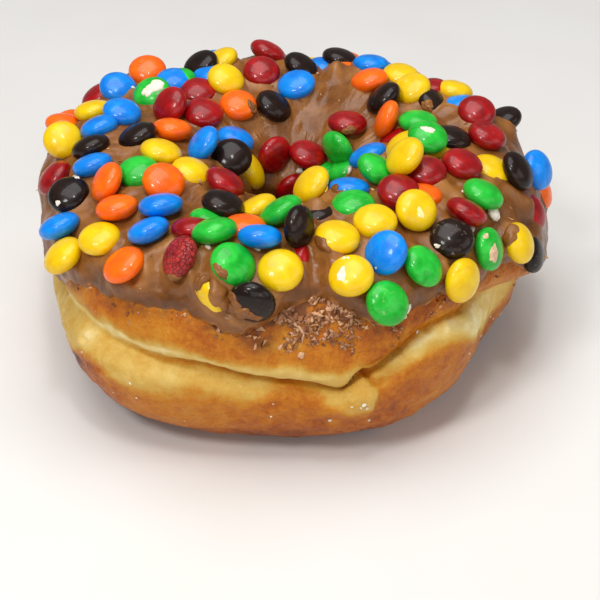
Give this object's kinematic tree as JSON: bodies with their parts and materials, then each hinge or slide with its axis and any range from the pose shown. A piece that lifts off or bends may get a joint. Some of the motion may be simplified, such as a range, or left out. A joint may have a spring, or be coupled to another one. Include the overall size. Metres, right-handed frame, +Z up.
{
  "type": "frosted ring doughnut",
  "caption": "Large risen ring doughnut with milk chocolate frosting and small sugar shelled chocolate candies stuck all over its top.",
  "frame": {"origin": "middle of the whole outline, on the surface that the doughnut lies on", "axes": "+Z up; +X to the right and -Y towards the viewer as the picture shows it"},
  "size_m": [0.1214, 0.1199, 0.0563],
  "materials": {
    "candy_blue": "hard and glossy",
    "candy_brown": "hard and glossy",
    "candy_green": "hard and glossy",
    "candy_orange": "hard and glossy",
    "candy_red": "hard and glossy",
    "candy_yellow": "hard and glossy",
    "dough": "browned and slightly oily",
    "frosting": "smooth and glossy"
  },
  "bodies": {
    "root": {"candy_blue_01": "candy_blue", "candy_blue_02": "candy_blue", "candy_blue_03": "candy_blue", "candy_blue_04": "candy_blue", "candy_blue_05": "candy_blue", "candy_blue_06": "candy_blue", "candy_blue_07": "candy_blue", "candy_blue_08": "candy_blue", "candy_blue_09": "candy_blue", "candy_blue_10": "candy_blue", "candy_blue_11": "candy_blue", "candy_brown_01": "candy_brown", "candy_brown_02": "candy_brown", "candy_brown_03": "candy_brown", "candy_brown_04": "candy_brown", "candy_brown_05": "candy_brown", "candy_brown_06": "candy_brown", "candy_brown_07": "candy_brown", "candy_brown_08": "candy_brown", "candy_green_01": "candy_green", "candy_green_02": "candy_green", "candy_green_03": "candy_green", "candy_green_04": "candy_green", "candy_green_05": "candy_green", "candy_green_06": "candy_green", "candy_green_07": "candy_green", "candy_green_08": "candy_green", "candy_green_09": "candy_green", "candy_orange_01": "candy_orange", "candy_orange_02": "candy_orange", "candy_orange_03": "candy_orange", "candy_orange_04": "candy_orange", "candy_orange_05": "candy_orange", "candy_orange_06": "candy_orange", "candy_red_01": "candy_red", "candy_red_02": "candy_red", "candy_red_03": "candy_red", "candy_red_04": "candy_red", "candy_red_05": "candy_red", "candy_red_06": "candy_red", "candy_red_07": "candy_red", "candy_red_08": "candy_red", "candy_red_09": "candy_red", "candy_red_10": "candy_red", "candy_red_11": "candy_red", "candy_yellow_01": "candy_yellow", "candy_yellow_02": "candy_yellow", "candy_yellow_03": "candy_yellow", "candy_yellow_04": "candy_yellow", "candy_yellow_05": "candy_yellow", "candy_yellow_06": "candy_yellow", "candy_yellow_07": "candy_yellow", "candy_yellow_08": "candy_yellow", "candy_yellow_09": "candy_yellow", "candy_yellow_10": "candy_yellow", "candy_yellow_11": "candy_yellow", "candy_yellow_12": "candy_yellow", "candy_yellow_13": "candy_yellow", "dough": "dough", "frosting": "frosting"}
  },
  "joints": []
}
